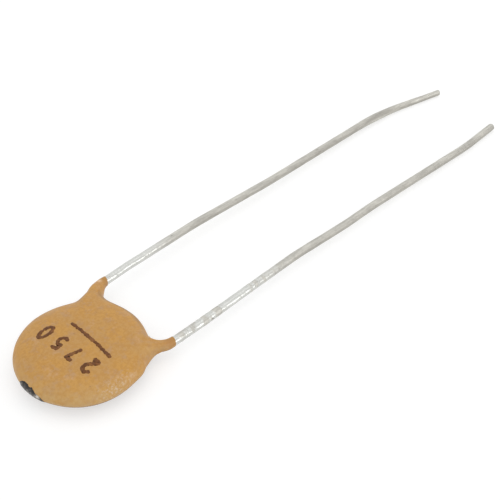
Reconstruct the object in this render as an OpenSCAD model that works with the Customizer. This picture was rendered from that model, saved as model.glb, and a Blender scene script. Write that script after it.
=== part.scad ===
// A ceramic disc capacitor with two radial leads, lying on its flat underside.
// Millimetres. The origin is under the middle of the disc, on the table. Z is up,
// the leads run out along +Y, and their tips touch the table.

/* [Coat] */
// Width of the dipped body, across the leads
body_w = 5.74; // [5.4:0.02:6.8]
// Length of the dipped body, along the leads
body_l = 5.52; // [5.3:0.02:6.8]
// Coat over the lead wire in the middle of each face
face_cover = 0.15; // [0.12:0.01:0.4]
// Coat round the edge of the ceramic
rim_cover = 0.6; // [0.45:0.01:0.9]
// Width of the flat in the middle of each face
flat_d = 1.9; // [1:0.05:2.4]
// Roundness of the rim: 2 is an ellipse, more is squarer
rim_power = 2.3; // [2:0.05:3]
// Length of the skirt on the left lead, beyond the body
left_skirt = 0.54; // [0.4:0.01:1]
// Length of the skirt on the right lead, beyond the body
right_skirt = 0.44; // [0.4:0.01:1]
// Coat on the lead at the end of each skirt
skirt_film = 0.045; // [0.035:0.005:0.12]

/* [Leads] */
// Diameter of the wire
lead_d = 0.4; // [0.35:0.01:0.5]
// Pitch of the lead holes that the capacitor is made for
lead_pitch = 5.08; // [4.8:0.01:5.6]
// Length of the left lead beyond the body
left_length = 25.44; // [24:0.02:34]
// Length of the right lead beyond the body
right_length = 24.64; // [24:0.02:34]
// Radius of the bends in the leads
bend_r = 0.8; // [0.6:0.05:1.2]
// Rise of the left lead, and fall of the right one, where they leave the coat
exit_rise = 0.1; // [0:0.01:0.15]
// Length of the left lead's end, which lies on the table
left_rest = 3.7; // [2:0.05:6]
// Length of the right lead's end, which lies on the table
right_rest = 2.6; // [2:0.05:6]

/* [Dielectric] */
// Thickness of the ceramic
ceramic_t = 0.3; // [0.2:0.01:0.6]
// Thickness of each fired silver electrode
electrode_t = 0.02; // [0.01:0.005:0.05]
// Bare ceramic round each electrode
electrode_margin = 0.25; // [0.15:0.01:0.5]
// Solder between the wire and its electrode
solder_film = 0.02; // [0.01:0.005:0.05]
// Width of each solder fillet
solder_w = 0.7; // [0.6:0.01:0.9]
// Electrode left bare beyond the end of each fillet
solder_margin = 0.2; // [0.1:0.01:0.5]

/* [Marking] */
// Height of a digit
digit_h = 0.84; // [0.5:0.01:0.95]
// Width of a digit
digit_w = 0.5; // [0.3:0.01:0.6]
// Pitch of the digits
digit_pitch = 0.93; // [0.75:0.01:1]
// Width of the printed line
stroke_w = 0.14; // [0.08:0.01:0.18]
// Thickness of the ink
ink_t = 0.02; // [0.01:0.005:0.05]
// Length of the underline
underline_l = 2.8; // [1.5:0.05:3]
// Thickness of the black dab on the rim
dab_t = 0.03; // [0.02:0.005:0.06]
// Width of the black dab, round the rim
dab_w = 1.5; // [0.6:0.05:2]

/* [Hidden] */
$fn = 48;

lead_r = lead_d / 2;
// Height of a wire's centre over the middle of the ceramic
wire_rise = ceramic_t / 2 + electrode_t + solder_film + lead_r;
half_t = wire_rise + lead_r + face_cover;
mid_z = half_t;
ceramic_r = min(body_w, body_l) / 2 - rim_cover;
electrode_r = ceramic_r - electrode_margin;
skirt_r = lead_r + skirt_film;
edge_y = body_l / 2;

// The two skirts. For each: the middle of the coat's end on the wire, the bend of the
// middle line, and for its inner and outer edge the angle at which the edge leaves the
// oval, how far it first runs on along it, and the point that it then turns round, given
// from its own corner at the coat's end.
left_tip = [-lead_pitch / 2 - 0.17, edge_y + left_skirt];
left_turn = left_tip + [0.64, -1.5];
left_inner = [104, 1.45, [0.34, -0.62]];
left_outer = [149, -0.45, [0.24, -0.96]];
right_tip = [lead_pitch / 2 - 0.39, edge_y + right_skirt];
right_turn = right_tip + [-0.17, -1.47];
right_inner = [75, -1, [-0.1, -0.6]];
right_outer = [33, 0.3, [-0.12, -0.85]];
// How long the skirts keep the body's thickness, and how fast they then thin
skirt_hold = 4;
skirt_taper = 1.85;
// How late the middle line rises or falls towards the end of a skirt
rise_delay = 3;
// Width of the ridge at the end of a skirt, as a share of the skirt
ridge_share = 0.2;
skirt_steps = 14;
ring_steps = 9;
arc_step = 5;

function mix(a, b, t) = a + (b - a) * t;
function unit(v) = v / norm(v);
function power(base, e) = base <= 0 ? 0 : pow(base, e);

// The body's oval, and the way along it
function oval(angle, grow = 0) =
    [(body_w / 2 + grow) * cos(angle), (body_l / 2 + grow) * sin(angle)];
function oval_way(angle) = unit([-body_w * sin(angle), body_l * cos(angle)]);

function curve2(a, b, c, t) = (1 - t) * (1 - t) * a + 2 * t * (1 - t) * b + t * t * c;
function curve3(a, b, c, d, t) = mix(curve2(a, b, c, t), curve2(b, c, d, t), t);

// An edge of a skirt, from the oval to the end of the coat on the wire
function skirt_edge(edge, corner, t) =
    let (start = oval(edge[0]))
    curve3(start, start + edge[1] * oval_way(edge[0]), corner + edge[2], corner, t);

// The middle line of a skirt, from the middle of the disc to the end of the coat
function skirt_line(side, t) =
    side > 0 ? curve2([0, 0], right_turn, right_tip, t)
    : side < 0 ? curve2([0, 0], left_turn, left_tip, t) : [0, 0];

// How far out along its middle line a place lies, 0 to 1
function reach_at(side, t) =
    side == 0 || t == 0 ? 0 : norm(skirt_line(side, t)) / norm(skirt_line(side, 1));

// Half the coat's thickness there, and the height of its middle
function half_at(side, t) =
    skirt_r + (half_t - skirt_r) * pow(1 - pow(reach_at(side, t), skirt_hold), skirt_taper);
function middle_at(side, t) = mid_z - side * exit_rise * pow(reach_at(side, t), rise_delay);

// The outline seen from above, anticlockwise. Each point is [x, y, side, step].
function arc_points(from, to) =
    let (count = round((to - from) / arc_step))
    [for (i = [1:count - 1]) let (p = oval(mix(from, to, i / count))) [p[0], p[1], 0, 0]];
function edge_points(side, edge, corner, outward) =
    [for (i = [0:skirt_steps])
        let (step = outward ? i : skirt_steps - i, p = skirt_edge(edge, corner, step / skirt_steps))
        [p[0], p[1], side, step]];
outline = concat(
    arc_points(right_inner[0], left_inner[0]),
    edge_points(-1, left_inner, left_tip + [skirt_r, 0], true),
    edge_points(-1, left_outer, left_tip - [skirt_r, 0], false),
    arc_points(left_outer[0], right_outer[0] + 360),
    edge_points(1, right_outer, right_tip + [skirt_r, 0], true),
    edge_points(1, right_inner, right_tip - [skirt_r, 0], false));
count = len(outline);
rings = 2 * ring_steps + 1;

// A point of the coat's surface between the middle line and the outline
function coat_point(ring, p) =
    let (t = p[3] / skirt_steps,
         line = skirt_line(p[2], t),
         share = mix(flat_d / min(body_w, body_l), ridge_share, t),
         bow = 2 / mix(rim_power, 2, t),
         angle = 90 - 90 * ring / ring_steps,
         out = share + (1 - share) * power(cos(angle), bow),
         z = middle_at(p[2], t) + sign(angle) * half_at(p[2], t) * power(sin(abs(angle)), bow))
    [mix(line[0], p[0], out), mix(line[1], p[1], out), z];

// Points of the two ridges, above and below the middle lines
spine_places = concat([[0, 0]],
    [for (i = [1:skirt_steps]) [-1, i / skirt_steps]],
    [for (i = [1:skirt_steps]) [1, i / skirt_steps]]);
function spine_points(way) =
    [for (s = spine_places)
        let (line = skirt_line(s[0], s[1]))
        [line[0], line[1], middle_at(s[0], s[1]) + way * half_at(s[0], s[1])]];
function spine_index(p) = p[3] == 0 ? 0 : p[3] + (p[2] > 0 ? skirt_steps : 0);

function ring_index(ring, k) = ring * count + k % count;
function top_index(k) = rings * count + spine_index(outline[k % count]);
function under_index(k) = top_index(k) + len(spine_places);
function is_end(k) =
    let (a = outline[k], b = outline[(k + 1) % count])
    a[3] == skirt_steps && b[3] == skirt_steps && a[2] == b[2];

coat_sides = [for (k = [0:count - 1]) if (!is_end(k))
    for (ring = [0:rings - 2])
        for (face = [[ring_index(ring, k), ring_index(ring, k + 1), ring_index(ring + 1, k + 1)],
                     [ring_index(ring, k), ring_index(ring + 1, k + 1), ring_index(ring + 1, k)]])
            face];
coat_tops = [for (k = [0:count - 1]) if (!is_end(k))
    for (face = [[top_index(k), ring_index(0, k + 1), ring_index(0, k)],
                 [under_index(k), ring_index(rings - 1, k), ring_index(rings - 1, k + 1)]])
        face];
coat_ridges = [for (k = [0:count - 1]) if (!is_end(k) && top_index(k) != top_index(k + 1))
    for (face = [[top_index(k), top_index(k + 1), ring_index(0, k + 1)],
                 [under_index(k), ring_index(rings - 1, k + 1), under_index(k + 1)]])
        face];
coat_ends = [for (k = [0:count - 1]) if (is_end(k))
    concat([top_index(k)], [for (ring = [0:rings - 1]) ring_index(ring, k + 1)],
           [under_index(k)], [for (ring = [0:rings - 1]) ring_index(rings - 1 - ring, k)])];

module coat_form() {
    polyhedron(
        points = concat([for (ring = [0:rings - 1]) for (p = outline) coat_point(ring, p)],
                        spine_points(1), spine_points(-1)),
        faces = concat(coat_sides, coat_tops, coat_ridges, coat_ends), convexity = 6);
}

// Height of the body's upper face, clear of the skirts
function face_z(x, y) =
    let (share = flat_d / min(body_w, body_l),
         out = norm([2 * x / body_w, 2 * y / body_l]),
         slope = max(0, out - share) / (1 - share))
    mid_z + half_t * power(1 - power(slope, rim_power), 1 / rim_power);

// The waves in the wires. Each bend is [sideways from the hole's line, share of the way from
// the body to the lead's end that lies on the table].
left_bends = [[-0.29, 0.085], [-0.6, 0.287], [-0.68, 0.531], [-1.11, 0.913]];
left_rest_side = -1.05;
left_tip_side = -0.31;
right_bends = [[-0.45, 0.088], [-0.78, 0.374], [-0.72, 0.537], [-0.8, 0.623]];
right_rest_side = -0.75;
right_tip_side = -0.93;
// Where each wire begins on its electrode, and how far it runs on past the ceramic's edge
wire_start = 0.45;
edge_run = 0.12;
// The bend just inside the end of each skirt
neck_drop = 0.34;
left_neck_side = 0.05;
right_neck_side = -0.02;
// Directions in which the wires run on their electrodes
left_way = 131;
right_way = 43;

// A wire falls evenly from the end of its skirt to the place where it meets the table
function lead_points(side, angle, neck, tip, bends, rest_side, tip_side, length, rest) =
    let (way = [cos(angle), sin(angle)],
         inner_z = mid_z - side * wire_rise,
         exit_z = mid_z - side * exit_rise,
         start = way * wire_start,
         edge = way * (ceramic_r + edge_run),
         line = side * lead_pitch / 2,
         fall = length - rest)
    concat([[start[0], start[1], inner_z],
            [edge[0], edge[1], inner_z],
            [neck[0], neck[1], exit_z]],
           [for (b = bends)
               let (y = edge_y + b[1] * fall)
               [line + b[0], y, mix(exit_z, lead_r, (y - tip[1]) / (edge_y + fall - tip[1]))]],
           [[line + rest_side, edge_y + fall, lead_r],
            [line + tip_side, edge_y + length, lead_r]]);
left_neck = left_tip + [left_neck_side, -neck_drop];
right_neck = right_tip + [right_neck_side, -neck_drop];
left_points = lead_points(-1, left_way, left_neck, left_tip, left_bends, left_rest_side,
                          left_tip_side, left_length, left_rest);
right_points = lead_points(1, right_way, right_neck, right_tip, right_bends, right_rest_side,
                           right_tip_side, right_length, right_rest);

// A wire is straight rods joined by bends. A bend stands a hair proud of the rods, and each
// rod enters it a little way through its flat end.
bend_proud = 0.002;
bend_entry = 0.015;
function ways(points) = [for (i = [1:len(points) - 1]) unit(points[i] - points[i - 1])];
function turn_between(a, b) = acos(min(1, a * b));
function bend_radius(turn) = turn > 10 ? bend_r : 4 * bend_r;
function bend_trim(turn) = bend_radius(turn) * tan(turn / 2);
module rod(from, way, length) {
    translate(from)
        rotate([0, acos(way[2]), atan2(way[1], way[0])]) cylinder(r = lead_r, h = length);
}
module bend(corner, before, after) {
    turn = turn_between(before, after);
    radius = bend_radius(turn);
    z = unit(cross(before, after));
    centre = corner + unit(after - before) * radius / cos(turn / 2);
    x = unit(corner - before * bend_trim(turn) - centre);
    y = cross(z, x);
    multmatrix([[x[0], y[0], z[0], centre[0]], [x[1], y[1], z[1], centre[1]],
                [x[2], y[2], z[2], centre[2]], [0, 0, 0, 1]])
        rotate_extrude(angle = turn) translate([radius, 0]) circle(r = lead_r + bend_proud);
}
module wire(points) {
    w = ways(points);
    last = len(w) - 1;
    trims = [for (i = [0:last + 1])
        i == 0 || i > last ? 0 : bend_trim(turn_between(w[i - 1], w[i])) - bend_entry];
    for (i = [0:last])
        rod(points[i] + w[i] * trims[i], w[i], norm(points[i + 1] - points[i]) - trims[i] - trims[i + 1]);
    for (i = [1:last])
        bend(points[i], w[i - 1], w[i]);
}
module left_lead() {
    color([0.78, 0.77, 0.74]) wire(left_points);
}
module right_lead() {
    color([0.78, 0.77, 0.74]) wire(right_points);
}

module ceramic_disc() {
    color([0.86, 0.83, 0.76])
        translate([0, 0, mid_z - ceramic_t / 2]) cylinder(r = ceramic_r, h = ceramic_t);
}
module electrode() {
    color([0.82, 0.82, 0.8]) cylinder(r = electrode_r, h = electrode_t);
}
module upper_electrode() {
    translate([0, 0, mid_z + ceramic_t / 2]) electrode();
}
module lower_electrode() {
    translate([0, 0, mid_z - ceramic_t / 2 - electrode_t]) electrode();
}

// Solder along the first stretch of a wire, standing on the electrode
solder_start = 0.2;
solder_l = electrode_r - solder_start - solder_margin;
module solder_mound() {
    r = solder_w / 2;
    lip = r / 2;
    intersection() {
        rotate([0, 90, 0]) rotate_extrude()
            polygon([[0, 0], [r - lip, 0], [r, lip], [r, solder_l - lip], [r - lip, solder_l],
                     [0, solder_l]]);
        translate([-lip, -r, 0]) cube([solder_l + 2 * lip, solder_w, r]);
    }
}
module placed_mound(angle, z) {
    translate([solder_start * cos(angle), solder_start * sin(angle), z]) rotate([0, 0, angle]) children();
}
module upper_mound() {
    placed_mound(left_way, mid_z + ceramic_t / 2 + electrode_t) solder_mound();
}
module lower_mound() {
    placed_mound(right_way, mid_z - ceramic_t / 2 - electrode_t) mirror([0, 0, 1]) solder_mound();
}
module upper_solder() {
    color([0.7, 0.7, 0.72]) difference() {
        upper_mound();
        left_lead();
    }
}
module lower_solder() {
    color([0.7, 0.7, 0.72]) difference() {
        lower_mound();
        right_lead();
    }
}

module coat() {
    color([0.77, 0.58, 0.34]) difference() {
        coat_form();
        ceramic_disc();
        upper_electrode();
        lower_electrode();
        upper_mound();
        lower_mound();
        left_lead();
        right_lead();
    }
}

// A printed line along a path on the upper face, as wide as the stroke
function side_way(path, closed, i) =
    let (n = len(path),
         before = closed ? path[(i + n - 1) % n] : path[max(0, i - 1)],
         after = closed ? path[(i + 1) % n] : path[min(n - 1, i + 1)],
         a = unit(path[i] == before ? after - path[i] : path[i] - before),
         b = unit(path[i] == after ? path[i] - before : after - path[i]),
         across = unit([-(a + b)[1], (a + b)[0]]))
    across / max(0.45, across * [-a[1], a[0]]);
module printed_line(path, closed = false) {
    n = len(path);
    corners = [for (i = [0:n - 1]) for (way = [1, -1])
        path[i] + way * stroke_w / 2 * side_way(path, closed, i)];
    points = [for (level = [0, 1]) for (p = corners) [p[0], p[1], face_z(p[0], p[1]) + level * ink_t]];
    last = closed ? n - 1 : n - 2;
    faces = [for (i = [0:last])
        let (a = 2 * i, b = 2 * i + 1, c = (2 * i + 3) % (2 * n), d = (2 * i + 2) % (2 * n), up = 2 * n)
        for (face = [[a, b, c], [a, c, d], [a + up, c + up, b + up], [a + up, d + up, c + up],
                     [b, b + up, c + up], [b, c + up, c], [a, d, d + up], [a, d + up, a + up]])
            face];
    ends = closed ? [] : [[0, 2 * n, 2 * n + 1], [0, 2 * n + 1, 1],
                          [2 * n - 2, 2 * n - 1, 4 * n - 1], [2 * n - 2, 4 * n - 1, 4 * n - 2]];
    polyhedron(points = points, faces = concat(faces, ends), convexity = 8);
}

// The digits, each one stroke in a cell about the origin
dw = (digit_w - stroke_w) / 2;
dh = (digit_h - stroke_w) / 2;
function round_points(cx, cy, rx, ry, from, to, steps) =
    [for (i = [0:steps]) let (a = mix(from, to, i / steps)) [cx + rx * cos(a), cy + ry * sin(a)]];
digit_two = concat(round_points(0, 0.35 * dh, dw, 0.65 * dh, 165, -25, 8),
                   [[-0.85 * dw, -0.85 * dh], [-0.7 * dw, -dh], [0, -dh], [dw, -dh]]);
digit_seven = [[-dw, dh], [0, dh], [0.85 * dw, 0.97 * dh], [0.75 * dw, 0.7 * dh], [0.25 * dw, -0.1 * dh],
               [-0.15 * dw, -dh]];
digit_five = concat([[0.85 * dw, dh], [0, dh], [-0.75 * dw, 0.97 * dh], [-0.8 * dw, 0.5 * dh]],
                    round_points(-0.15 * dw, -0.3 * dh, 1.05 * dw, 0.62 * dh, 125, -140, 9));
digit_zero = round_points(0, 0, dw, dh, 0, 345, 23);

// The print reads from the +Y side, its baseline nearest the leads
print_at = [0.05, -0.58];
print_tilt = 4;
function placed(path, index) =
    let (turn = 180 + print_tilt, across = (index - 1.5) * digit_pitch)
    [for (p = path)
        let (x = p[0] + across, y = p[1])
        print_at + [x * cos(turn) - y * sin(turn), x * sin(turn) + y * cos(turn)]];
module value_digits() {
    color([0.36, 0.22, 0.17]) {
        printed_line(placed(digit_two, 0));
        printed_line(placed(digit_seven, 1));
        printed_line(placed(digit_five, 2));
        printed_line(placed(digit_zero, 3), closed = true);
    }
}
underline_at = [0.31, 0.37];
underline_bow = 0.05;
underline_steps = 12;
module value_underline() {
    color([0.36, 0.22, 0.17])
        printed_line([for (i = [0:underline_steps])
            let (t = 2 * i / underline_steps - 1)
            underline_at + [-t * (underline_l - stroke_w) / 2, underline_bow * (1 - t * t)]]);
}

// The black dab: a thin oval skin over the rim, opposite the leads
dab_middle = -83;
dab_span = dab_w / body_w * 360 / PI;
dab_low = -50;
dab_high = 17;
dab_steps = 12;
dab_rows = 6;
function rim_point(angle, lift, out) =
    let (share = flat_d / min(body_w, body_l),
         bow = 2 / rim_power,
         p = oval(angle, out) * (share + (1 - share) * power(cos(lift), bow)))
    [p[0], p[1], mid_z + sign(lift) * (half_t + out) * power(sin(abs(lift)), bow)];
module rim_dab() {
    wide = dab_steps + 1;
    tall = dab_rows + 1;
    points = [for (out = [0, dab_t]) for (i = [0:dab_steps]) for (j = [0:dab_rows])
        let (t = 2 * i / dab_steps - 1,
             spread = sqrt(1.04 - t * t),
             lift = mix(dab_low, dab_high, 0.5) + (dab_high - dab_low) / 2 * spread * (2 * j / dab_rows - 1))
        rim_point(dab_middle + t * dab_span / 2, lift, out)];
    function at(out, i, j) = (out * wide + i) * tall + j;
    faces = concat(
        [for (i = [0:dab_steps - 1]) for (j = [0:dab_rows - 1])
            for (face = [[at(1, i, j), at(1, i, j + 1), at(1, i + 1, j + 1)],
                         [at(1, i, j), at(1, i + 1, j + 1), at(1, i + 1, j)],
                         [at(0, i, j), at(0, i + 1, j + 1), at(0, i, j + 1)],
                         [at(0, i, j), at(0, i + 1, j), at(0, i + 1, j + 1)]])
                face],
        [for (i = [0:dab_steps - 1])
            for (face = [[at(0, i, 0), at(1, i, 0), at(1, i + 1, 0)],
                         [at(0, i, 0), at(1, i + 1, 0), at(0, i + 1, 0)],
                         [at(0, i, dab_rows), at(1, i + 1, dab_rows), at(1, i, dab_rows)],
                         [at(0, i, dab_rows), at(0, i + 1, dab_rows), at(1, i + 1, dab_rows)]])
                face],
        [for (j = [0:dab_rows - 1])
            for (face = [[at(0, 0, j), at(0, 0, j + 1), at(1, 0, j + 1)],
                         [at(0, 0, j), at(1, 0, j + 1), at(1, 0, j)],
                         [at(0, dab_steps, j), at(1, dab_steps, j + 1), at(0, dab_steps, j + 1)],
                         [at(0, dab_steps, j), at(1, dab_steps, j), at(1, dab_steps, j + 1)]])
                face]);
    color([0.13, 0.12, 0.12]) polyhedron(points = points, faces = faces, convexity = 4);
}

coat();
ceramic_disc();
upper_electrode();
lower_electrode();
left_lead();
right_lead();
upper_solder();
lower_solder();
value_digits();
value_underline();
rim_dab();
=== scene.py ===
# Ceramic disc capacitor, finished for its picture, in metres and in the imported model's frame.
import math

import bmesh
import bpy
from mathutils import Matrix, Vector, noise
from mathutils.bvhtree import BVHTree


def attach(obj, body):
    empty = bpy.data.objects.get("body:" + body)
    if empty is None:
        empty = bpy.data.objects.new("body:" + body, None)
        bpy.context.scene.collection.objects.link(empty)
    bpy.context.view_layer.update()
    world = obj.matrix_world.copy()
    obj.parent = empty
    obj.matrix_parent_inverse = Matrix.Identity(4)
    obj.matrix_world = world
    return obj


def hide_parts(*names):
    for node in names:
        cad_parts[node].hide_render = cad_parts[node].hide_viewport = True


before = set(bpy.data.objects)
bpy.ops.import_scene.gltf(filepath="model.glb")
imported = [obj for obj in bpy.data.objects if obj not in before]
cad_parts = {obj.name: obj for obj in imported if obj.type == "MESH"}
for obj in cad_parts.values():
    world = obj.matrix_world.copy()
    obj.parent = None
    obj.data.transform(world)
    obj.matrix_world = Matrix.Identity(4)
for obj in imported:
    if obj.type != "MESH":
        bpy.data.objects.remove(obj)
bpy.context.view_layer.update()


# Room
# A plain pale table under a wide soft sky, with one soft lamp overhead and one low on the
# right, which the wires and the rim catch. The table keeps the capacitor's shadow.
mm = 0.001


def is_seen(nodes, links):
    """1 for rays from the camera, a mirror or glass, which see the table and sky as white."""
    path = nodes.new("ShaderNodeLightPath")
    first = nodes.new("ShaderNodeMath")
    first.operation = "MAXIMUM"
    links.new(path.outputs["Is Camera Ray"], first.inputs[0])
    links.new(path.outputs["Is Glossy Ray"], first.inputs[1])
    second = nodes.new("ShaderNodeMath")
    second.operation = "MAXIMUM"
    links.new(first.outputs[0], second.inputs[0])
    links.new(path.outputs["Is Transmission Ray"], second.inputs[1])
    return second.outputs[0]


def new_piece(name, shape):
    """An object of the finished shape, put in the scene."""
    piece = bpy.data.objects.new(name, bpy.data.meshes.new(name))
    shape.to_mesh(piece.data)
    bpy.context.collection.objects.link(piece)
    return piece


table_reach = 2.0
table_drop = 0.01 * mm
# The table lights the capacitor as pale grey card. Where it is seen, it is darker card with a
# white glow added, which makes it white and leaves the shadow on it.
table_grey, table_grey_seen = 0.84, 0.52
table_glow = 0.56
table_mesh = bmesh.new()
bmesh.ops.create_grid(table_mesh, x_segments=4, y_segments=4, size=table_reach)
bmesh.ops.translate(table_mesh, verts=table_mesh.verts, vec=(0, 0, -table_drop))
table = new_piece("table", table_mesh)

table_finish = bpy.data.materials.new("pale_table")
table_finish.use_nodes = True
nodes, links = table_finish.node_tree.nodes, table_finish.node_tree.links
nodes.clear()
card = nodes.new("ShaderNodeBsdfDiffuse")
shade = nodes.new("ShaderNodeMapRange")
shade.inputs["To Min"].default_value = table_grey
shade.inputs["To Max"].default_value = table_grey_seen
links.new(is_seen(nodes, links), shade.inputs["Value"])
links.new(shade.outputs["Result"], card.inputs["Color"])
glow = nodes.new("ShaderNodeEmission")
glow.inputs["Color"].default_value = (1, 1, 1, 1)
glow_strength = nodes.new("ShaderNodeMath")
glow_strength.operation = "MULTIPLY"
glow_strength.inputs[1].default_value = table_glow
links.new(is_seen(nodes, links), glow_strength.inputs[0])
links.new(glow_strength.outputs[0], glow.inputs["Strength"])
both = nodes.new("ShaderNodeAddShader")
links.new(card.outputs[0], both.inputs[0])
links.new(glow.outputs[0], both.inputs[1])
table_output = nodes.new("ShaderNodeOutputMaterial")
links.new(both.outputs[0], table_output.inputs["Surface"])
table.data.materials.append(table_finish)

# The sky lights the capacitor more from behind it than from behind the camera
sky_front, sky_back = 0.76, 0.9
sky_brightest = Vector((-0.35, 0.8, 0.5)).normalized()
# It dims away from its brightest place, down to where the cosine of the angle between is this
sky_dimmest_cosine = -0.6
sky = bpy.data.worlds.new("soft_sky")
bpy.context.scene.world = sky
sky.use_nodes = True
nodes, links = sky.node_tree.nodes, sky.node_tree.links
direction = nodes.new("ShaderNodeTexCoord")
facing = nodes.new("ShaderNodeVectorMath")
facing.operation = "DOT_PRODUCT"
facing.inputs[1].default_value = sky_brightest
links.new(direction.outputs["Generated"], facing.inputs[0])
sky_light = nodes.new("ShaderNodeMapRange")
sky_light.interpolation_type = "SMOOTHSTEP"
sky_light.inputs["From Min"].default_value = sky_dimmest_cosine
sky_light.inputs["To Min"].default_value = sky_front
sky_light.inputs["To Max"].default_value = sky_back
links.new(facing.outputs["Value"], sky_light.inputs["Value"])
white_if_seen = nodes.new("ShaderNodeMath")
white_if_seen.operation = "MAXIMUM"
links.new(sky_light.outputs["Result"], white_if_seen.inputs[0])
links.new(is_seen(nodes, links), white_if_seen.inputs[1])
background = nodes["Background"]
background.inputs["Color"].default_value = (1, 1, 1, 1)
links.new(white_if_seen.outputs[0], background.inputs["Strength"])

# Each lamp: its place, how wide and high it is, and its power
for name, place, width, height, power in [
        ("overhead_lamp", (0.02, 0.02, 0.45), 0.5, 0.5, 0.21),
        ("side_softbox", (0.37, 0.17, 0.12), 0.3, 0.16, 0.22)]:
    light = bpy.data.lights.new(name, "AREA")
    light.shape = "RECTANGLE"
    light.size = width
    light.size_y = height
    light.energy = power
    lamp = bpy.data.objects.new(name, light)
    lamp.location = place
    lamp.rotation_euler = Vector(place).to_track_quat("Z", "Y").to_euler()
    bpy.context.collection.objects.link(lamp)

# The camera looks down at the disc over its right-hand rim
camera_place = (22.828 * mm, -12.458 * mm, 27.728 * mm)
camera_turn, camera_lift = math.radians(45.79), math.radians(40.54)
focal_length, film_width = 63.78, 36
nearest_seen = 1 * mm
lens = bpy.data.cameras.new("camera")
lens.lens = focal_length
lens.sensor_width = film_width
lens.clip_start = nearest_seen
camera = bpy.data.objects.new("camera", lens)
camera.location = camera_place
towards_camera = Vector((math.sin(camera_turn) * math.cos(camera_lift),
                         -math.cos(camera_turn) * math.cos(camera_lift),
                         math.sin(camera_lift)))
camera.rotation_euler = towards_camera.to_track_quat("Z", "Y").to_euler()
bpy.context.collection.objects.link(camera)
bpy.context.scene.camera = camera
bpy.context.scene.view_settings.view_transform = "Standard"


# Ceramic disc
# A pressed and fired disc of barium titanate, pale cream and faintly speckled. The coat
# hides it, and the two silver films and the wires' solder sit on its flat faces.
def new_group(name, inputs, outputs):
    """A shader node group with named sockets. Each input is (name, type, value)."""
    group = bpy.data.node_groups.new(name, "ShaderNodeTree")
    for label, kind, value in inputs:
        socket = group.interface.new_socket(label, in_out="INPUT", socket_type=kind)
        if value is not None:
            socket.default_value = value
    for label, kind in outputs:
        group.interface.new_socket(label, in_out="OUTPUT", socket_type=kind)
    return (group, group.nodes.new("NodeGroupInput"), group.nodes.new("NodeGroupOutput"))


# Soft patches: a cloudy mask with a chosen patch size in millimetres and a chosen share
patches, given, result = new_group(
    "patches",
    [("Place", "NodeSocketVector", None), ("Size", "NodeSocketFloat", 1.0),
     ("Share", "NodeSocketFloat", 0.5), ("Blur", "NodeSocketFloat", 0.2)],
    [("Mask", "NodeSocketFloat")])
cloud_detail, cloud_roughness = 4, 0.6
# The cut through the cloud falls from the first to the second as the share rises from 0 to 1
cut_for_none, cut_for_all = 0.75, 0.25
cloud = patches.nodes.new("ShaderNodeTexNoise")
cloud.inputs["Detail"].default_value = cloud_detail
cloud.inputs["Roughness"].default_value = cloud_roughness
per_mm = patches.nodes.new("ShaderNodeMath")
per_mm.operation = "DIVIDE"
per_mm.inputs[0].default_value = 1
patches.links.new(given.outputs["Size"], per_mm.inputs[1])
patches.links.new(given.outputs["Place"], cloud.inputs["Vector"])
patches.links.new(per_mm.outputs[0], cloud.inputs["Scale"])
cut = patches.nodes.new("ShaderNodeMapRange")
cut.inputs["To Min"].default_value = cut_for_none
cut.inputs["To Max"].default_value = cut_for_all
patches.links.new(given.outputs["Share"], cut.inputs["Value"])
blur_from = patches.nodes.new("ShaderNodeMath")
blur_from.operation = "SUBTRACT"
blur_to = patches.nodes.new("ShaderNodeMath")
blur_to.operation = "ADD"
for blur_limit in (blur_from, blur_to):
    patches.links.new(cut.outputs["Result"], blur_limit.inputs[0])
    patches.links.new(given.outputs["Blur"], blur_limit.inputs[1])
soft_cut = patches.nodes.new("ShaderNodeMapRange")
soft_cut.interpolation_type = "SMOOTHSTEP"
patches.links.new(cloud.outputs["Fac"], soft_cut.inputs["Value"])
patches.links.new(blur_from.outputs[0], soft_cut.inputs["From Min"])
patches.links.new(blur_to.outputs[0], soft_cut.inputs["From Max"])
patches.links.new(soft_cut.outputs["Result"], result.inputs["Mask"])


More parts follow.
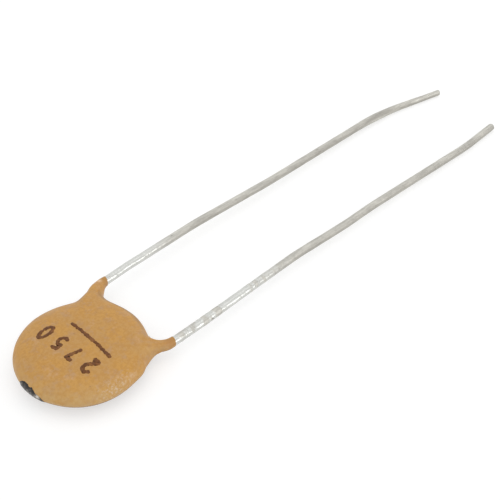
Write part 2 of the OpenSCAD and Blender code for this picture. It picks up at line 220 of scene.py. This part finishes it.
class Finish:
    """A material under construction, on object coordinates in millimetres."""

    def __init__(self, name, stretch=(1, 1, 1)):
        self.material = bpy.data.materials.new(name)
        self.material.use_nodes = True
        self.nodes = self.material.node_tree.nodes
        self.links = self.material.node_tree.links
        self.shader = self.nodes["Principled BSDF"]
        coordinates = self.nodes.new("ShaderNodeTexCoord")
        scale = self.nodes.new("ShaderNodeMapping")
        scale.inputs["Scale"].default_value = [s / mm for s in stretch]
        self.links.new(coordinates.outputs["Object"], scale.inputs["Vector"])
        self.place = scale.outputs["Vector"]

    def set(self, **values):
        """Sets values that are the same all over, with _ for the space in a socket's name."""
        for name, value in values.items():
            self.shader.inputs[name.replace("_", " ")].default_value = value

    def mask(self, size, share, blur=0.1, place=None):
        """Soft patches of a size in millimetres that cover about a share of the surface."""
        node = self.nodes.new("ShaderNodeGroup")
        node.node_tree = patches
        node.inputs["Size"].default_value = size
        node.inputs["Share"].default_value = share
        node.inputs["Blur"].default_value = blur
        self.links.new(place or self.place, node.inputs["Place"])
        return node.outputs["Mask"]

    def attribute(self, name):
        node = self.nodes.new("ShaderNodeAttribute")
        node.attribute_name = name
        return node.outputs["Fac"]

    def math(self, operation, a, b):
        node = self.nodes.new("ShaderNodeMath")
        node.operation = operation
        for socket, value in zip(node.inputs, (a, b)):
            if isinstance(value, (int, float)):
                socket.default_value = value
            else:
                self.links.new(value, socket)
        return node.outputs[0]

    def times(self, a, b):
        return self.math("MULTIPLY", a, b)

    def mix(self, share, a, b):
        """Colour a, with b where the share is 1. Each is a colour or an output."""
        node = self.nodes.new("ShaderNodeMix")
        node.data_type = "RGBA"
        for socket, value in zip((node.inputs[0], node.inputs[6], node.inputs[7]), (share, a, b)):
            if isinstance(value, bpy.types.NodeSocket):
                self.links.new(value, socket)
            else:
                socket.default_value = value
        return node.outputs[2]

    def patch(self, under, over, size, share, blur=0.1, strength=1):
        """The colour under, with soft patches of the colour over on it."""
        mask = self.mask(size, share, blur)
        if strength < 1:
            mask = self.times(mask, strength)
        return self.mix(mask, under, over)

    def between(self, share, low, high):
        """From low where the share is 0 to high where it is 1."""
        node = self.nodes.new("ShaderNodeMapRange")
        node.inputs["To Min"].default_value = low
        node.inputs["To Max"].default_value = high
        self.links.new(share, node.inputs["Value"])
        return node.outputs["Result"]

    def bump(self, height, depth):
        """Adds bumps of a depth in metres to those that are there."""
        node = self.nodes.new("ShaderNodeBump")
        node.inputs["Distance"].default_value = depth
        self.links.new(height, node.inputs["Height"])
        normal = self.shader.inputs["Normal"]
        if normal.links:
            self.links.new(normal.links[0].from_socket, node.inputs["Normal"])
        self.links.new(node.outputs["Normal"], normal)

    def feed(self, name, output):
        self.links.new(output, self.shader.inputs[name])


def paint(red, green, blue):
    """A colour as seen on a screen, 0 to 255, as the shader wants it."""
    def linear(value):
        value /= 255
        return value / 12.92 if value <= 0.04045 else ((value + 0.055) / 1.055) ** 2.4
    return (linear(red), linear(green), linear(blue), 1)


def give(node_name, finish):
    """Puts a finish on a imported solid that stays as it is."""
    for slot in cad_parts[node_name].material_slots:
        slot.material = finish.material


ceramic = Finish("fired_ceramic")
cream, speckle = paint(226, 219, 202), paint(196, 184, 160)
ceramic.feed("Base Color", ceramic.patch(cream, speckle, 0.12, 0.3, 0.08))
ceramic.feed("Roughness", ceramic.between(ceramic.mask(0.3, 0.5), 0.55, 0.75))
ceramic.bump(ceramic.mask(0.06, 0.5, 0.25), 0.002 * mm)
give("ceramic_disc", ceramic)


# Silver electrodes
# A film of silver paste fired onto each face of the ceramic, matt and slightly mottled,
# with bare ceramic left round its edge.
silver = Finish("silver_paste")
silver.set(Metallic=1.0)
silver.feed("Base Color", silver.patch(paint(214, 212, 206), paint(180, 176, 168), 0.25, 0.4))
silver.feed("Roughness", silver.between(silver.mask(0.1, 0.5), 0.42, 0.62))
silver.bump(silver.mask(0.05, 0.5, 0.25), 0.003 * mm)
for node_name in ("upper_electrode", "lower_electrode"):
    give(node_name, silver)


# Solder fillets
# Tin solder that ran along the first stretch of each wire and froze on the silver, bright
# and finely frosted.
solder = Finish("frozen_solder")
solder.set(Metallic=1.0)
solder.feed("Base Color", solder.patch(paint(205, 206, 208), paint(158, 158, 160), 0.2, 0.35))
solder.feed("Roughness", solder.between(solder.mask(0.15, 0.5), 0.18, 0.4))
solder.bump(solder.mask(0.08, 0.5, 0.2), 0.004 * mm)
for node_name in ("upper_solder", "lower_solder"):
    give(node_name, solder)


# Lead wires
# Two tinned copper wires, one soldered on each face of the disc. They leave the coat at the
# skirts, were bent by hand and by the crimps of a reel, and rest on the table at their tips.
wire_radius = 0.2 * mm
wire_step = 0.07 * mm
wire_sides = 28
# A corner is drawn out over a short spread in the skirts, and a long one where the wire is free
skirt_spread, free_spread = 0.12 * mm, 0.6 * mm
free_from, free_blend = 4.2 * mm, 1.5 * mm
spreads_reached = 2.5
# The wire comes to lie on the table over this length
settling = 2 * mm
# The cut end is rounded over a short length, and loses this share of its area
end_rounding, end_loss = 0.09 * mm, 0.75
# The length over which the bright stretch turns dull, in millimetres
bright_blend = 0.5
# The side of each wire with painted shade, a darker colour, as a turn from its right-hand
# side. A squeeze turns it further, and the bright stretch has little of it.
shade_side, shade_reach = math.radians(15), math.radians(40)
shade_turn, shade_loss = 2, 0.75
# The small lumps of the tin: how long, how close round the wire, and how high
lump_length, lump_closeness, lump_height = 0.9 * mm, 1.2, 0.035


def as_share(value):
    """The value, held between 0 and 1."""
    return min(1, max(0, value))


def bell(distance, reach):
    """1 at no distance, about a third at the reach, and next to nothing at twice the reach."""
    return math.exp(-(distance / reach) ** 2)


def along(route, step):
    """Points a step apart along straight stretches."""
    points = []
    for a, b in zip(route, route[1:]):
        count = max(1, round((b - a).length / step))
        points += [a.lerp(b, i / count) for i in range(count)]
    return points + [route[-1]]


def eased(points, step):
    """The same points with each corner drawn out to a curve, a wide one where the wire is free."""
    curve = []
    for i, point in enumerate(points):
        free = as_share((point.y - free_from) / free_blend)
        spread = skirt_spread + (free_spread - skirt_spread) * free
        reach = round(spreads_reached * spread / step)
        span = min(reach, i, len(points) - 1 - i)
        total, weights = Vector(), 0
        for k in range(-span, span + 1):
            weight = bell(k * step, spread)
            total += points[i + k] * weight
            weights += weight
        curve.append(total / weights)
    return curve


# The right wire, and the resin round it, lean in a little where they leave the disc
lean_middle, lean_reach = Vector((2.15, 2.2, 0.45)) * mm, 0.56 * mm
lean = Vector((-0.12, 0.11, 0.07)) * mm


def leaning(place):
    """The place, moved by the lean there."""
    return place + lean * bell((place - lean_middle).length, lean_reach)


def make_wire(name, node_name, route, squeezes, bright_until, nicks, seed):
    """A wire along its route, whose last stretch lies on the table. Each squeeze is (y, reach,
    sideways, upright), where the last two say how much wider the pliers left it each way. It
    is bright near the coat and dull beyond, and it can be nicked. It comes with its middles."""
    route = [Vector(p) * mm for p in route]
    middles = [leaning(p) for p in eased(along(route, wire_step), wire_step)]
    shape = bmesh.new()
    bright = shape.verts.layers.float.new("bright")
    nicked = shape.verts.layers.float.new("nicked")
    painted_side_shade = shape.verts.layers.float.new("painted_side_shade")
    bmesh.ops.create_circle(shape, segments=wire_sides, radius=wire_radius)
    ring = list(shape.verts)
    edges = list(shape.edges)
    bmesh.ops.contextual_create(shape, geom=edges)
    turns = [math.atan2(v.co.y, v.co.x) for v in ring]
    last = len(middles) - 1
    for i, middle in enumerate(middles):
        if i:
            new = bmesh.ops.extrude_edge_only(shape, edges=edges)["geom"]
            ring = [e for e in new if isinstance(e, bmesh.types.BMVert)]
            edges = [e for e in new if isinstance(e, bmesh.types.BMEdge)]
        ahead = (middles[min(last, i + 1)] - middles[max(0, i - 1)]).normalized()
        side = ahead.cross(Vector((0, 0, 1))).normalized()
        up = side.cross(ahead)
        wide, high = 1, 1
        for y, reach, sideways, upright in squeezes:
            squeezed = bell(middle.y - y * mm, reach * mm)
            wide += sideways * squeezed
            high += upright * squeezed
        lying = as_share((middle.y - route[-2].y) / settling + 0.5)
        lifted = middle + Vector((0, 0, (high - 1) * wire_radius * lying))
        to_end = as_share(1 - (middles[-1] - middle).length / end_rounding)
        blunt = math.sqrt(1 - end_loss * to_end ** 2)
        brightness = 1 / (1 + math.exp((middle.y / mm - bright_until) / bright_blend))
        shade_from = shade_side + shade_turn * (wide - 1)
        for vertex, turn in zip(ring, turns):
            vertex[bright] = brightness
            vertex[nicked] = nicks
            # Painted shade: a darker band along one side of the wire
            vertex[painted_side_shade] = bell(turn - shade_from, shade_reach) * (1 - shade_loss * brightness)
            lump = noise.noise(Vector((middle.y / lump_length,
                                       lump_closeness * math.cos(turn) + seed,
                                       lump_closeness * math.sin(turn))))
            radius = wire_radius * blunt * (1 + lump_height * lump)
            vertex.co = (lifted + side * (radius * wide * math.cos(turn))
                         + up * (radius * high * math.sin(turn)))
    bmesh.ops.contextual_create(shape, geom=edges)
    bmesh.ops.recalc_face_normals(shape, faces=shape.faces)
    for face in shape.faces:
        face.smooth = len(face.verts) == 4
    wire = new_piece(name, shape)
    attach(wire, "root")
    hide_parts(node_name)
    return wire, middles


left_wire, left_middles = make_wire(
    "left_wire", "left_lead",
    [(-0.295, 0.34, 1.13), (-1.496, 1.721, 1.13), (-2.66, 2.96, 0.84), (-2.83, 4.608, 0.801),
     (-3.14, 8.999, 0.668), (-3.22, 14.304, 0.508), (-3.65, 22.609, 0.257), (-3.59, 24.5, 0.2),
     (-2.8, 28.4, 0.2)],
    squeezes=[(23.5, 1.2, 0.42, -0.25), (27.6, 1.6, -0.26, -0.1)],
    bright_until=6.7, nicks=0, seed=3.7)
right_wire, right_middles = make_wire(
    "right_wire", "right_lead",
    [(0.329, 0.307, 0.35), (1.668, 1.555, 0.35), (2.13, 2.86, 0.64), (2.09, 4.7, 0.609),
     (1.76, 11.003, 0.481), (1.82, 14.595, 0.408), (1.74, 16.491, 0.369), (1.79, 24.8, 0.2),
     (1.6, 27.46, 0.2)],
    squeezes=[(5.0, 2.5, 0.05, 0.02)],
    bright_until=9.5, nicks=1, seed=8.1)

# The scale of most marks along the wire, against 1 across it: they are long and narrow
tin_stretch = 0.22
tin = Finish("handled_and_shaded_tin", stretch=(1, tin_stretch, 1))
tin.set(Metallic=1.0)


def scaled(along_wire, across):
    """Object coordinates in millimetres times a scale along the wire and one across it."""
    node = tin.nodes.new("ShaderNodeMapping")
    node.inputs["Scale"].default_value = (across, along_wire / tin_stretch, across)
    tin.links.new(tin.place, node.inputs["Vector"])
    return node.outputs["Vector"]


round_marks, short_marks, long_streaks = scaled(1, 1), scaled(1, 0.35), scaled(0.12, 1)
# The nicks are short breaks across the bright stretch
nick = tin.times(tin.mask(0.4, 0.42, 0.05, short_marks), tin.attribute("nicked"))
fresh = tin.times(tin.attribute("bright"), tin.math("SUBTRACT", 1, nick))
drawn = tin.patch(paint(217, 218, 214), paint(203, 204, 200), 0.09, 0.5, 0.2)
dull = tin.patch(paint(214, 212, 204), paint(194, 192, 185), 0.35, 0.5, 0.17)
streaks = tin.times(tin.mask(0.11, 0.42, 0.1, long_streaks), 0.38)
streaked = tin.mix(streaks, dull, paint(160, 157, 150))
tarnished = tin.mix(fresh, streaked, drawn)
# Painted shade darkens the colour along the right-hand side of each wire
side_shade = tin.times(tin.attribute("painted_side_shade"), 0.55)
side_shaded = tin.mix(side_shade, tarnished, paint(146, 142, 134))
tin.feed("Base Color", tin.patch(side_shaded, paint(124, 118, 112), 0.14, 0.1, 0.05))
uneven_gloss = tin.between(tin.mask(0.5, 0.5, 0.2, round_marks), 0, 0.1)
tin.feed("Roughness", tin.math("ADD", tin.between(fresh, 0.46, 0.17), uneven_gloss))
grain = tin.times(tin.mask(0.07, 0.5, 0.3), tin.between(fresh, 1, 0.15))
tin.bump(grain, 0.005 * mm)
tin.bump(tin.mask(0.3, 0.35, 0.15, round_marks), 0.01 * mm)
tin.bump(nick, 0.01 * mm)
for wire in (left_wire, right_wire):
    wire.data.materials.append(tin.material)


# Resin coat
# The whole disc is dipped in ochre resin, which wets the wires a little way and is then
# cured. It is softly mottled and satin on top, with painted shade under the rim and over it
# on the wires' side, painted sheen on the rim's front right and a painted glint on the left skirt.
weld_distance = 0.0002 * mm
skin_crease, shading_crease = math.radians(55), math.radians(50)
# The skin is smoothed several times over, most of all away from the resin's ends on the
# wires. Each pass: how many rounds, and how far it stays from the ends.
smoothing_passes = [(3, 0.1 * mm), (5, 0.5 * mm), (22, 1.1 * mm)]
# Soft waves and finer ripples: how deep, and how close in a millimetre. The skin is calm
# near the resin's ends.
wave_depth, wave_closeness = 0.022 * mm, 0.7
ripple_depth, ripple_closeness = 0.006 * mm, 3.1
calm_length, calm_blend = 0.9 * mm, 1 * mm
# Smoothing draws the rim in, and this puts it back
rim_growth = 0.03 * mm
# The resin ran a little unevenly. Each place bulges or sinks: (x, y, z, reach, how far out)
uneven = [
    # Between the skirts
    (0.1, 2.65, 0.9, 1.1, 0.13),
    (-0.95, 2.6, 0.95, 0.6, 0.06),
    # On the left skirt
    (-2.35, 2.1, 1.15, 0.35, -0.04),
    (-2.58, 2.62, 1.05, 0.5, 0.01),
    # On the right skirt and at its root
    (2.3, 1.78, 0.75, 0.34, -0.08),
    (2.28, 2.28, 0.7, 0.36, -0.06),
    (1.78, 2.66, 1.05, 0.45, -0.08),
    (2.62, 1.28, 0.6, 0.42, 0.08),
    (2.08, 2.38, 0.35, 0.26, -0.06),
    (2.25, 1.6, 0.35, 0.28, 0.07)]
left_end = Vector((-2.71, 3.3, 0.84)) * mm
right_end = Vector((2.15, 3.2, 0.64)) * mm
# Each end of the resin on a wire: its middle, how far it ran on, the length over which it
# thins to a film, and the wire's middles
resin_ends = [(left_end, 0.04 * mm, 0.65 * mm, left_middles),
              (right_end, 0, 1.3 * mm, right_middles)]
end_film = 0.015 * mm
end_zone = 1.4 * mm
taper_curve = 1.5
# The ends are not quite square: how much, and the side that is neither longer nor shorter
end_slant, slant_side = 0.05 * mm, math.radians(45)
end_softness = 0.01 * mm

shape = bmesh.new()
shape.from_mesh(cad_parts["coat"].data)
bmesh.ops.remove_doubles(shape, verts=shape.verts, dist=weld_distance)

# The outer skin is every face reached from the top without crossing a sharp edge
on_skin = shape.faces.layers.int.new("outside")
top_face = max(shape.faces, key=lambda f: f.calc_center_median().z)
outside, waiting = {top_face}, [top_face]
while waiting:
    face = waiting.pop()
    for edge in face.edges:
        if len(edge.link_faces) == 2 and edge.calc_face_angle() < skin_crease:
            for other in edge.link_faces:
                if other not in outside:
                    outside.add(other)
                    waiting.append(other)
for face in outside:
    face[on_skin] = 1
skin_edges = list({e for f in outside for e in f.edges})
bmesh.ops.subdivide_edges(shape, edges=skin_edges, cuts=2, use_grid_fill=True)
bmesh.ops.triangulate(shape, faces=[f for f in shape.faces if len(f.verts) > 4])
skin = [v for v in shape.verts if all(f[on_skin] for f in v.link_faces)]


def from_ends(place):
    """How far a place is from the nearer end of the resin on a wire."""
    return min((place - left_end).length, (place - right_end).length)


for rounds, clear in smoothing_passes:
    smoothed = [v for v in skin if from_ends(v.co) > clear]
    for _ in range(rounds):
        bmesh.ops.smooth_vert(shape, verts=smoothed, factor=0.5,
                              use_axis_x=True, use_axis_y=True, use_axis_z=True)
shape.normal_update()
for vertex in skin:
    place = vertex.co / mm
    wave = (noise.noise(place * wave_closeness) * wave_depth
            + noise.noise(place * ripple_closeness) * ripple_depth)
    moving = as_share((from_ends(vertex.co) - calm_length) / calm_blend)
    depth = 0.5 * (wave_depth + ripple_depth + wave) * moving
    growth = rim_growth * (1 - abs(vertex.normal.z))
    vertex.co += vertex.normal * (growth - depth)
shape.normal_update()
for vertex in skin:
    place, outward = vertex.co.copy(), vertex.normal.copy()
    for x, y, z, reach, swell in uneven:
        away = (place - Vector((x, y, z)) * mm).length
        vertex.co += outward * (swell * mm * bell(away, reach * mm))

# The resin leans with the right wire, and thins out to a film on both
for vertex in shape.verts:
    vertex.co = leaning(vertex.co)
    for end, run_on, taper, middles in resin_ends:
        away = vertex.co - end
        share = as_share(away.y / taper + 1)
        if away.length < end_zone and share > 0:
            middle = min(middles, key=lambda m: (m - vertex.co).length_squared)
            out, film = vertex.co - middle, wire_radius + end_film
            if out.length > film:
                vertex.co = middle + out * (1 + (film / out.length - 1) * share ** taper_curve)
            turn = math.atan2(away.z, away.x)
            vertex.co.y += share ** 2 * (run_on + end_slant * math.sin(turn - slant_side))
end_edges = [e for e in shape.edges
             if len(e.link_faces) == 2 and e.link_faces[0][on_skin] != e.link_faces[1][on_skin]]
bmesh.ops.bevel(shape, geom=end_edges, offset=end_softness, segments=3, profile=0.5,
                affect="EDGES", material=-1, clamp_overlap=True)
shape.normal_update()

# Painted shade darkens the resin under the rim, from this slope down, and over the rim on the
# side of the wires: that band's width, its clear length at the resin's ends, its strength,
# and the slope at which it begins to fade
shade_under_slope, shade_under_blend = -0.35, 0.15
far_shade_width, far_shade_clear, far_shade_strength = 3 * mm, 0.8 * mm, 0.6
far_shade_slope, far_shade_slope_reach = 0.72, 0.09
near_wire_reach = 0.9 * mm
# The side of the rim that gets painted sheen, a paler colour
sheen_side = Vector((0.6, -0.8, 0))
sheen_from, sheen_blend = 0.18, 0.6
# Where painted sheen, as fine pale flecks, lies just inside the rim, as a turn and a distance from
# the middle
sheen_fleck_turn, sheen_fleck_reach = math.radians(-5), math.radians(18)
sheen_fleck_from, sheen_fleck_blend = 2.25 * mm, 0.45 * mm
# A painted glint, nearly white, on the end of the left skirt
glint_place, glint_reach = Vector((-2.66, 2.98, 1.1)) * mm, 0.1 * mm

painted_rim_shade = shape.verts.layers.float.new("painted_rim_shade")
near_wire = shape.verts.layers.float.new("near_wire")
painted_rim_sheen = shape.verts.layers.float.new("painted_rim_sheen")
painted_sheen_flecks = shape.verts.layers.float.new("painted_sheen_flecks")
painted_glint = shape.verts.layers.float.new("painted_glint")
for vertex in shape.verts:
    place, outward = vertex.co, vertex.normal
    turn = math.atan2(place.y, place.x)
    inside_rim = as_share((place.xy.length - sheen_fleck_from) / sheen_fleck_blend)
    vertex[painted_sheen_flecks] = bell(turn - sheen_fleck_turn, sheen_fleck_reach) * inside_rim
    vertex[painted_glint] = bell((place - glint_place).length, glint_reach)
    # Painted sheen: paler colour on the side of the rim that faces front right
    vertex[painted_rim_sheen] = as_share((outward.dot(sheen_side) - sheen_from) / sheen_blend)
    # Painted shade: darker colour under the rim, and in a band over the rim on the wires' side
    under = as_share((shade_under_slope - outward.z) / shade_under_blend)
    far_shade = (as_share((place.y - place.x) / far_shade_width)
            * as_share(from_ends(place) / far_shade_clear - 1)
            * bell(max(0, outward.z - far_shade_slope), far_shade_slope_reach))
    vertex[painted_rim_shade] = max(under, far_shade_strength * far_shade)
    vertex[near_wire] = bell(from_ends(place), near_wire_reach)
for face in shape.faces:
    face.smooth = True
for edge in shape.edges:
    edge.smooth = len(edge.link_faces) == 2 and edge.calc_face_angle() < shading_crease
coat_surface = BVHTree.FromBMesh(shape)
resin_coat = new_piece("resin_coat", shape)
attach(resin_coat, "root")
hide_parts("coat")

resin = Finish("ochre_resin")
cloudy = resin.patch(paint(194, 147, 80), paint(200, 148, 68), 1.1, 0.5, 0.12)
scuffed = resin.patch(cloudy, paint(204, 162, 116), 0.75, 0.26, 0.08, 0.75)
greyed = resin.patch(scuffed, paint(184, 144, 102), 0.35, 0.35, 0.08, 0.6)
grained = resin.patch(greyed, paint(186, 132, 54), 0.13, 0.5, 0.08, 0.5)
specked = resin.patch(grained, paint(136, 94, 60), 0.16, 0.06, 0.03, 0.7)
# Painted sheen on the rim's front right, a paler colour
sheen_share = resin.times(resin.attribute("painted_rim_sheen"),
                      resin.between(resin.mask(0.22, 0.5, 0.15), 0.2, 0.6))
with_sheen = resin.mix(sheen_share, specked, paint(208, 174, 117))
# Painted sheen as fine pale flecks just inside the rim
sheen_flecks = resin.times(resin.attribute("painted_sheen_flecks"),
                     resin.between(resin.mask(0.1, 0.36, 0.07), 0, 0.72))
with_sheen_flecks = resin.mix(sheen_flecks, with_sheen, paint(212, 188, 158))
close_to_wire = resin.attribute("near_wire")
drained = resin.mix(resin.times(close_to_wire, resin.mask(0.5, 0.45, 0.2)),
                    with_sheen_flecks, paint(186, 132, 70))
very_end = resin.math("POWER", close_to_wire, 7)
ended = resin.mix(resin.times(very_end, 0.45), drained, paint(140, 96, 50))
# Painted shade along the rim darkens the colour
rim_shaded = resin.mix(resin.times(resin.attribute("painted_rim_shade"), 0.8), ended, paint(104, 72, 42))
# A painted glint on the end of the left skirt, a near-white colour
glint_share = resin.times(resin.attribute("painted_glint"), 0.8)
resin.feed("Base Color", resin.mix(glint_share, rim_shaded, paint(240, 208, 172)))
resin.feed("Roughness", resin.between(resin.mask(0.7, 0.5, 0.2), 0.42, 0.56))
resin.bump(resin.mask(0.25, 0.5, 0.3), 0.005 * mm)
resin.bump(resin.mask(0.06, 0.5, 0.3), 0.0015 * mm)
resin_coat.data.materials.append(resin.material)


# Printed mark
# Plain digits and a line under them, stamped in dark brown ink on the upper face. They read
# from the wires' side. The stamp left ragged edges and thin ink in places.
digit_stroke, line_stroke = 0.175 * mm, 0.155 * mm
stamp_step = 0.03 * mm
# How far the ink stands on the coat, how thick it is, and the share of its height that is
# left along its two edges
ink_height, ink_thickness = 0.012 * mm, 0.018 * mm
ink_edge, edge_height = 0.9, 0.35
# The square of a stroke's width at its very end, as a share
end_share = 0.35
# Its edges are ragged: by what share, over what length, and how unlike the two edges are.
# No two strokes are ragged alike.
rag_share, rag_length, rag_difference = 0.5, 0.09 * mm, 3
rag_seed = 11.3
print_middle = Vector((0.05, -0.58)) * mm
print_turn = math.radians(184)
digit_pitch = 0.93 * mm
row_middle = 1.5
half_width, half_height = 0.18 * mm, 0.35 * mm
line_middle = Vector((0.31, 0.37)) * mm
line_reach, line_bow = 1.33 * mm, 0.05 * mm


def on_coat(x, y):
    """The point of the coat's upper face over x, y, and the way out of the coat there."""
    above = Vector((x, y, 5 * mm))
    return coat_surface.ray_cast(above, Vector((0, 0, -1)))[:2]


def curve_points(middle, reach, first, last, count):
    """Points of an arc of an oval, from one turn to another in degrees."""
    turns = [math.radians(first + (last - first) * i / count) for i in range(count + 1)]
    return [(middle[0] + reach[0] * math.cos(t), middle[1] + reach[1] * math.sin(t))
            for t in turns]


def stamp_stroke(path, stroke, seed):
    """One inked line along a path of flat points, as a closed slab on the coat."""
    points = along([Vector((p[0], p[1], 0)) for p in path], stamp_step)
    last = len(points) - 1
    slab = bmesh.new()
    bmesh.ops.create_grid(slab, x_segments=last, y_segments=4, size=1)
    for vertex in slab.verts:
        i = round((vertex.co.x + 1) / 2 * last)
        across = vertex.co.y
        ahead = (points[min(last, i + 1)] - points[max(0, i - 1)]).normalized()
        from_end = min(i, last - i) * stamp_step
        narrowing = math.sqrt(min(1, end_share + from_end / (0.5 * stroke)))
        rag = noise.noise(points[i] / rag_length + Vector((seed, across * rag_difference, 0)))
        reach = stroke / 2 * narrowing * (1 + rag_share * rag)
        flat = points[i] + Vector((-ahead.y, ahead.x, 0)) * (across * reach)
        hit, normal = on_coat(flat.x, flat.y)
        vertex.co = hit + normal * (ink_height * (edge_height if abs(across) > ink_edge else 1))
    slab.normal_update()
    bmesh.ops.solidify(slab, geom=slab.faces, thickness=ink_thickness)
    bmesh.ops.recalc_face_normals(slab, faces=slab.faces)
    return slab


def placed(path, index):
    """A digit's path, turned and moved to its place in the row."""
    cos, sin = math.cos(print_turn), math.sin(print_turn)
    shift = (index - row_middle) * digit_pitch
    return [print_middle + Vector(((x + shift) * cos - y * sin, (x + shift) * sin + y * cos))
            for x, y in path]


w, h = half_width, half_height
two = (curve_points((0, 0.35 * h), (w, 0.65 * h), 165, -25, 8)
       + [(-0.85 * w, -0.85 * h), (-0.7 * w, -h), (w, -h)])
seven = [(-w, h), (0.85 * w, 0.97 * h), (0.75 * w, 0.7 * h), (0.25 * w, -0.1 * h),
         (-0.15 * w, -h)]
five = ([(0.85 * w, h), (-0.75 * w, 0.97 * h), (-0.8 * w, 0.5 * h)]
        + curve_points((-0.15 * w, -0.3 * h), (1.05 * w, 0.62 * h), 125, -140, 9))
zero = curve_points((0, 0), (w, h), 0, 360, 24)

ink = Finish("stamped_ink")
ink.set(Specular_IOR_Level=0.3)
thin_ink = ink.times(ink.mask(0.22, 0.3, 0.1), 0.55)
dark_ink = ink.patch(paint(90, 52, 16), paint(126, 80, 44), 0.1, 0.5, 0.2)
ink.feed("Base Color", ink.mix(thin_ink, dark_ink, paint(160, 108, 56)))
ink.feed("Roughness", ink.between(ink.mask(0.2, 0.5), 0.5, 0.7))
ink.bump(ink.mask(0.06, 0.5, 0.25), 0.003 * mm)


def stamp(name, node_name, paths, stroke):
    """A mark of several strokes, all in one piece."""
    shape = bmesh.new()
    for number, path in enumerate(paths):
        one_stroke = bpy.data.meshes.new("one_stroke")
        stamp_stroke(path, stroke, rag_seed * number).to_mesh(one_stroke)
        shape.from_mesh(one_stroke)
        bpy.data.meshes.remove(one_stroke)
    for face in shape.faces:
        face.smooth = True
    mark = new_piece(name, shape)
    mark.data.materials.append(ink.material)
    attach(mark, "root")
    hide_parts(node_name)


stamp("stamped_digits", "value_digits",
      [placed(path, index) for index, path in enumerate((two, seven, five, zero))],
      digit_stroke)
stamp("stamped_line", "value_underline",
      [[line_middle + Vector((-line_reach * t, line_bow * (1 - t * t)))
        for t in (-1, -0.6, -0.2, 0.2, 0.6, 1)]],
      line_stroke)


# Black dab
# A touch of black paint brushed over the rim, opposite the wires. It is glossy and pooled along
# its upper edge, with grey streaks of painted sheen below that, ragged edges, and a painted
# glint in one spot.
dab_middle, dab_spread = math.radians(-83), math.radians(15)
dab_low, dab_high, dab_lean = math.radians(-42), math.radians(20), math.radians(10)
dab_columns, dab_rows = 40, 24
dab_height, dab_thickness = 0.028 * mm, 0.02 * mm
# How full the dab is towards its two sides, and the least share of its height there
side_fullness, side_height = 2.5, 0.1
# Coarse and fine rags of its upper and lower edges: how deep, how close, and a seed
coarse_rag, coarse_closeness, coarse_seed = 0.22, 3.5, 4.2
fine_rag, fine_closeness, fine_seed = 0.1, 11, 1.1
# The paint thins over this share of the dab at its edges, to this share of its height
thinning_edge, thinnest = 0.18, 0.15
# The brush left it uneven all over: how much, how close each way, and a seed
brush_mark, closeness_round, closeness_up, brush_seed = 0.35, 6, 5, 7.7
# The dab is laid onto the coat towards a ring inside the disc, from outside it
ring_radius, ring_height, laid_from = 2.0 * mm, 0.74 * mm, 3 * mm
dab_glint_place, dab_glint_reach = Vector((0.78, -2.66, 0.78)) * mm, 0.1 * mm
pool_reach = 0.3

shape = bmesh.new()
dab_glint = shape.verts.layers.float.new("dab_glint")
pooled = shape.verts.layers.float.new("pooled")
bmesh.ops.create_grid(shape, x_segments=dab_columns, y_segments=dab_rows, size=1)
for vertex in shape.verts:
    t, s = vertex.co.x, vertex.co.y
    full = max(side_height, math.sqrt(1 - abs(t) ** side_fullness))
    ragged = (1 + coarse_rag * noise.noise(Vector((t * coarse_closeness, s, coarse_seed)))
              + fine_rag * noise.noise(Vector((t * fine_closeness, s, fine_seed))))
    turn = dab_middle + t * dab_spread
    high = dab_high - dab_lean * t
    lift = (dab_low + high) / 2 + (high - dab_low) / 2 * full * s * ragged
    inner = Vector((ring_radius * math.cos(turn), ring_radius * math.sin(turn), ring_height))
    out = Vector((math.cos(lift) * math.cos(turn), math.cos(lift) * math.sin(turn),
                  math.sin(lift)))
    hit, normal = coat_surface.ray_cast(inner + out * laid_from, -out)[:2]
    from_edge = 1 - max(abs(t), abs(s))
    height = dab_height * min(1, max(thinnest, from_edge / thinning_edge))
    brushing = Vector((t * closeness_round, s * closeness_up, brush_seed))
    height *= 1 + brush_mark * noise.noise(brushing)
    vertex.co = hit + normal * height
    # Where the painted glint lies on the dab
    vertex[dab_glint] = bell((vertex.co - dab_glint_place).length, dab_glint_reach)
    vertex[pooled] = bell(1 - s, pool_reach)
shape.normal_update()
bmesh.ops.solidify(shape, geom=shape.faces, thickness=dab_thickness)
bmesh.ops.recalc_face_normals(shape, faces=shape.faces)
for face in shape.faces:
    face.smooth = True
dab = new_piece("painted_dab", shape)
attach(dab, "root")
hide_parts("rim_dab")

black = Finish("brushed_black")
black.set(Specular_IOR_Level=0.4)
below_pool = black.math("SUBTRACT", 1, black.attribute("pooled"))
# Grey streaks of painted sheen on the black, below the pooled upper edge
sheen_streaks = black.times(black.mask(0.16, 0.42, 0.08), below_pool)
streaked_with_sheen = black.mix(sheen_streaks, paint(24, 18, 14), paint(112, 106, 98))
thin_paint = black.patch(streaked_with_sheen, paint(110, 76, 52), 0.12, 0.15, 0.05)
# A painted glint, nearly white, in one spot of the dab
dab_glint_share = black.times(black.attribute("dab_glint"), black.mask(0.08, 0.7, 0.1))
black.feed("Base Color", black.mix(dab_glint_share, thin_paint, paint(232, 224, 212)))
black.feed("Roughness", black.between(black.mask(0.25, 0.5, 0.2), 0.15, 0.42))
black.bump(black.mask(0.14, 0.5, 0.25), 0.008 * mm)
dab.data.materials.append(black.material)
